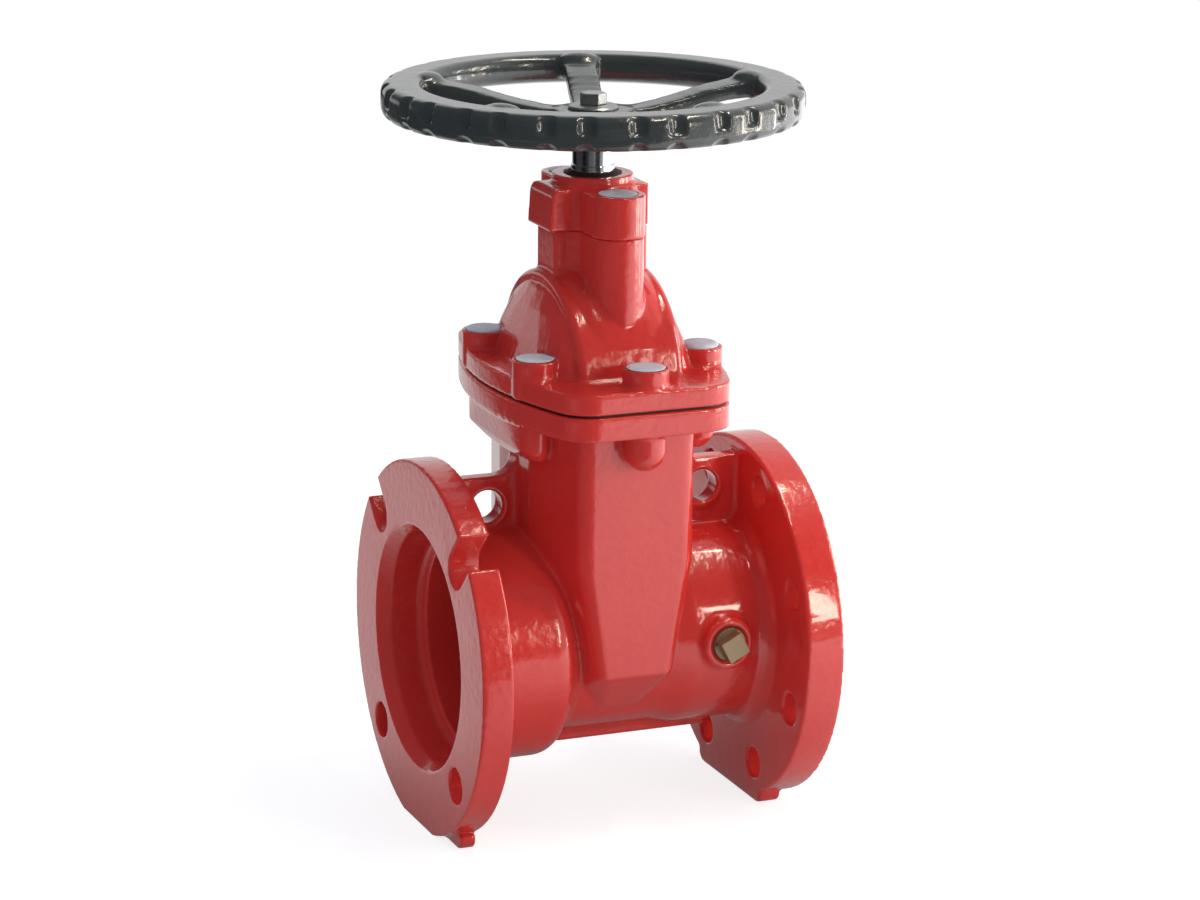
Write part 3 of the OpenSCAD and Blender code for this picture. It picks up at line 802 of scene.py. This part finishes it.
washer_low, washer_high = corners_of("wheel_washer")
bolt_low, bolt_high = corners_of("wheel_bolt")
foot, top = washer_low.z, washer_high.z
washer = turned([(WASHER_BORE, foot), (WASHER_FOOT, foot), (WASHER_R, foot + 0.9 * MM),
                 (WASHER_SHOULDER, foot + 1.8 * MM), (WASHER_FLAT, top), (WASHER_BORE, top),
                 (WASHER_BORE, foot)], "domed_washer")
place_on(washer, "wheel_washer", "wheel")
head = Matrix.Translation((0, 0, (top + bolt_high.z) / 2))
bm = bmesh.new()
bmesh.ops.create_cone(bm, cap_ends=True, segments=6, radius1=HEAD_R, radius2=HEAD_R,
                      depth=bolt_high.z - top, matrix=head)
bevel_sharp(bm, HEAD_BEVEL)
shank = turned([(0, bolt_low.z), (SHANK_R, bolt_low.z), (SHANK_R, top + MM), (0, top + MM)],
               "shank")
bm.from_mesh(shank.data)
bpy.data.objects.remove(shank)
wheel_bolt = new_piece("hex_bolt", bm)
place_on(wheel_bolt, "wheel_bolt", "wheel")
print("washer and bolt turned")

# %% [markdown]
# ## The drain plug
#
# A square-headed pipe plug closes the drain boss beside the drilled flange. Its form is right
# in the CAD model, so its flat faces are joined again and its sharp edges get a small bevel.

# %% Bevel the drain plug
PLUG_BEVEL = 0.8 * MM
FLAT_ANGLE = math.radians(2)
bm = bmesh.new()
bm.from_mesh(nodes["drain_plug"].data)
bmesh.ops.remove_doubles(bm, verts=bm.verts, dist=0.01 * MM)
bmesh.ops.dissolve_limit(bm, angle_limit=FLAT_ANGLE, verts=bm.verts, edges=bm.edges)
bevel_sharp(bm, PLUG_BEVEL)
drain_plug = new_piece("square_drain_plug", bm)
place_on(drain_plug, "drain_plug", "valve")
print("drain plug", len(drain_plug.data.polygons), "faces")

# %% [markdown]
# ## The uneven face of a coated casting
#
# Sand leaves shallow lumps on a casting, and thick paint adds a fine orange peel. Two noises
# make them as bumps, and a third, slow one makes the colour drift a little. They're far too
# shallow to be worth real geometry, so a shared node group draws them.

# %% Group: the uneven face of a coated casting
LUMP_DEPTH = 0.6 * MM
PEEL_DEPTH = 0.2 * MM
CLOUD_SIZE = 22.0


def make_cast_face():
    """Bumps of a painted casting, and a slow noise for its colour."""
    group, given, out = new_group(
        "cast_face",
        [("Lump Size", FLOAT, 170.0), ("Lumps", FLOAT, 0.68), ("Peel Size", FLOAT, 700.0),
         ("Peel", FLOAT, 0.11)],
        [("Normal", VECTOR), ("Cloud", FLOAT)],
    )
    place = add_node(group, "ShaderNodeTexCoord")
    lumps = add_node(group, "ShaderNodeTexNoise", {"Vector": place.outputs["Object"],
                     "Scale": given.outputs["Lump Size"], "Detail": 2.0, "Roughness": 0.45})
    peel = add_node(group, "ShaderNodeTexNoise", {"Vector": place.outputs["Object"],
                    "Scale": given.outputs["Peel Size"], "Detail": 1.0})
    coarse = add_node(group, "ShaderNodeBump", {"Height": lumps.outputs["Fac"],
                      "Strength": given.outputs["Lumps"], "Distance": LUMP_DEPTH})
    fine = add_node(group, "ShaderNodeBump", {"Height": peel.outputs["Fac"],
                    "Strength": given.outputs["Peel"], "Distance": PEEL_DEPTH,
                    "Normal": coarse.outputs["Normal"]})
    cloud = add_node(group, "ShaderNodeTexNoise", {"Vector": place.outputs["Object"],
                     "Scale": CLOUD_SIZE, "Detail": 3.0})
    group.links.new(fine.outputs["Normal"], out.inputs["Normal"])
    group.links.new(cloud.outputs["Fac"], out.inputs["Cloud"])
    return group


cast_face = make_cast_face()
print("node group", cast_face.name)

# %% [markdown]
# ## Red epoxy and black enamel
#
# Both are glossy coats over iron: a coloured base with a clear coat on top, whose streaks
# stay sharp. The red is a fusion-bonded epoxy, and the wheel is dipped in black enamel.

# %% Red epoxy and black enamel
PAINT_SMOOTHER, PAINT_ROUGHER = 0.8, 1.2


def coat_paint(name, deep, bright, rough):
    """A glossy coat over a casting, whose colour drifts from deep to bright."""
    material, tree, shader = new_material(name, Coat_Weight=0.6, Coat_Roughness=0.04,
                                          Coat_IOR=1.5)
    relief = use_group(tree, cast_face)
    tone = add_node(tree, "ShaderNodeMix", {"Factor": relief.outputs["Cloud"],
                    "A": deep, "B": bright}, data_type="RGBA")
    tree.links.new(tone.outputs[2], shader.inputs["Base Color"])
    dull = add_node(tree, "ShaderNodeMapRange", {"Value": relief.outputs["Cloud"],
                    "To Min": rough * PAINT_SMOOTHER, "To Max": rough * PAINT_ROUGHER})
    tree.links.new(dull.outputs["Result"], shader.inputs["Roughness"])
    tree.links.new(relief.outputs["Normal"], shader.inputs["Normal"])
    return material


red_epoxy = coat_paint("red_epoxy_paint", (0.60, 0.029, 0.027, 1), (0.71, 0.046, 0.033, 1), 0.2)
black_enamel = coat_paint("black_enamel_paint", (0.03, 0.038, 0.038, 1),
                          (0.05, 0.06, 0.06, 1), 0.25)
print("two paints mixed")

# %% [markdown]
# ## Metals, rubber and wax
#
# The remaining finishes differ only in colour, shine and grain, so one function makes them
# all. Then every solid and every new piece gets the finish of its slot.

# %% Metals, rubber and wax
DARKER, LIGHTER = 0.75, 1.2
SMOOTHER, ROUGHER = 0.7, 1.3
BUMP_STRENGTH = 0.4


def plain_finish(name, color, metallic, rough, scale, depth):
    """A finish whose colour, shine and height all follow one fine noise."""
    material, tree, shader = new_material(name, Metallic=metallic)
    place = add_node(tree, "ShaderNodeTexCoord")
    grain = add_node(tree, "ShaderNodeTexNoise", {"Vector": place.outputs["Object"],
                     "Scale": scale, "Detail": 4.0})
    dark, light = ([c * share for c in color] + [1] for share in (DARKER, LIGHTER))
    tone = add_node(tree, "ShaderNodeMix", {"Factor": grain.outputs["Fac"],
                    "A": dark, "B": light}, data_type="RGBA")
    tree.links.new(tone.outputs[2], shader.inputs["Base Color"])
    dull = add_node(tree, "ShaderNodeMapRange", {"Value": grain.outputs["Fac"],
                    "To Min": rough * SMOOTHER, "To Max": rough * ROUGHER})
    tree.links.new(dull.outputs["Result"], shader.inputs["Roughness"])
    bump = add_node(tree, "ShaderNodeBump", {"Height": grain.outputs["Fac"],
                    "Strength": BUMP_STRENGTH, "Distance": depth})
    tree.links.new(bump.outputs["Normal"], shader.inputs["Normal"])
    return material


polished = plain_finish("polished_steel", (0.74, 0.76, 0.82), 1.0, 0.1, 500, 0.03 * MM)
dull_steel = plain_finish("plated_steel", (0.42, 0.44, 0.44), 0.9, 0.33, 500, 0.05 * MM)
brass = plain_finish("weathered_brass", (0.37, 0.28, 0.18), 0.75, 0.46, 300, 0.6 * MM)
bronze = plain_finish("machined_bronze", (0.6, 0.42, 0.16), 1.0, 0.3, 400, 0.03 * MM)
wax = plain_finish("grey_wax", (0.66, 0.68, 0.75), 0.0, 0.45, 160, 0.3 * MM)
rubber = plain_finish("black_rubber_face", (0.03, 0.012, 0.012), 0.0, 0.6, 900, 0.05 * MM)
gate_face = plain_finish("gate_rubber_face", (0.025, 0.025, 0.027), 0.0, 0.5, 700, 0.05 * MM)
slot_finish = {
    "red_epoxy": red_epoxy, "black_enamel": black_enamel, "polished_stem": polished,
    "plain_steel": dull_steel, "brass_plug": brass, "bronze": bronze,
    "grey_sealant": wax, "black_rubber": rubber, "gate_rubber": gate_face,
}
for part in frame["record"]["subparts"]:
    solid = nodes[part["node"]]
    finish = slot_finish[part["material_slot"]]
    for slot in solid.material_slots:
        slot.material = finish
for piece, finish in ((body, red_epoxy), (bonnet, red_epoxy), (seal_plate, red_epoxy),
                      (wheel, black_enamel), (washer, dull_steel), (wheel_bolt, dull_steel),
                      (drain_plug, brass), *((plug, wax) for plug in wax_plugs)):
    piece.data.materials.clear()
    piece.data.materials.append(finish)
print(len(slot_finish), "finishes on", len(nodes), "solids and the new pieces")
